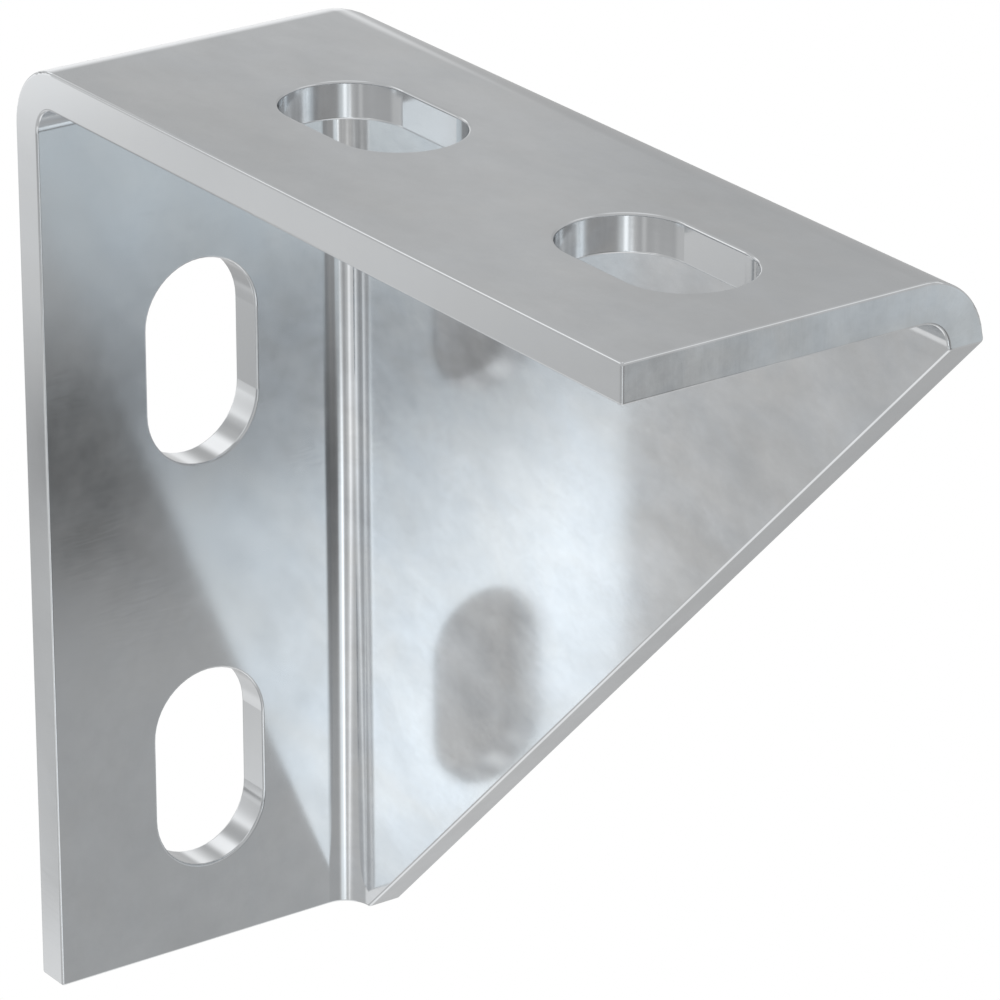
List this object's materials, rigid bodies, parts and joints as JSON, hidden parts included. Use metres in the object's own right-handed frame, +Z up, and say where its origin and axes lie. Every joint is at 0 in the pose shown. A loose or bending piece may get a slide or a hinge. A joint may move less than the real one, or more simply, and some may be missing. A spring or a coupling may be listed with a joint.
{
  "type": "angle bracket",
  "caption": "Pressed sheet-steel angle bracket: a wall flange and a top flange with long bolt slots, joined by a triangular web folded to both, with a rounded outer corner.",
  "frame": {"origin": "on the wall side of the wall flange, at the middle of its two-slot pattern", "axes": "+X out from the wall along the top flange, +Y from the flanges' open front edge to the web, +Z up"},
  "size_m": [0.1, 0.04, 0.1],
  "materials": {
    "zinc_plated_steel": "bright zinc plate, slightly blue, with a soft mirror gloss"
  },
  "bodies": {
    "root": {"angle_bracket": "zinc_plated_steel"}
  },
  "joints": []
}
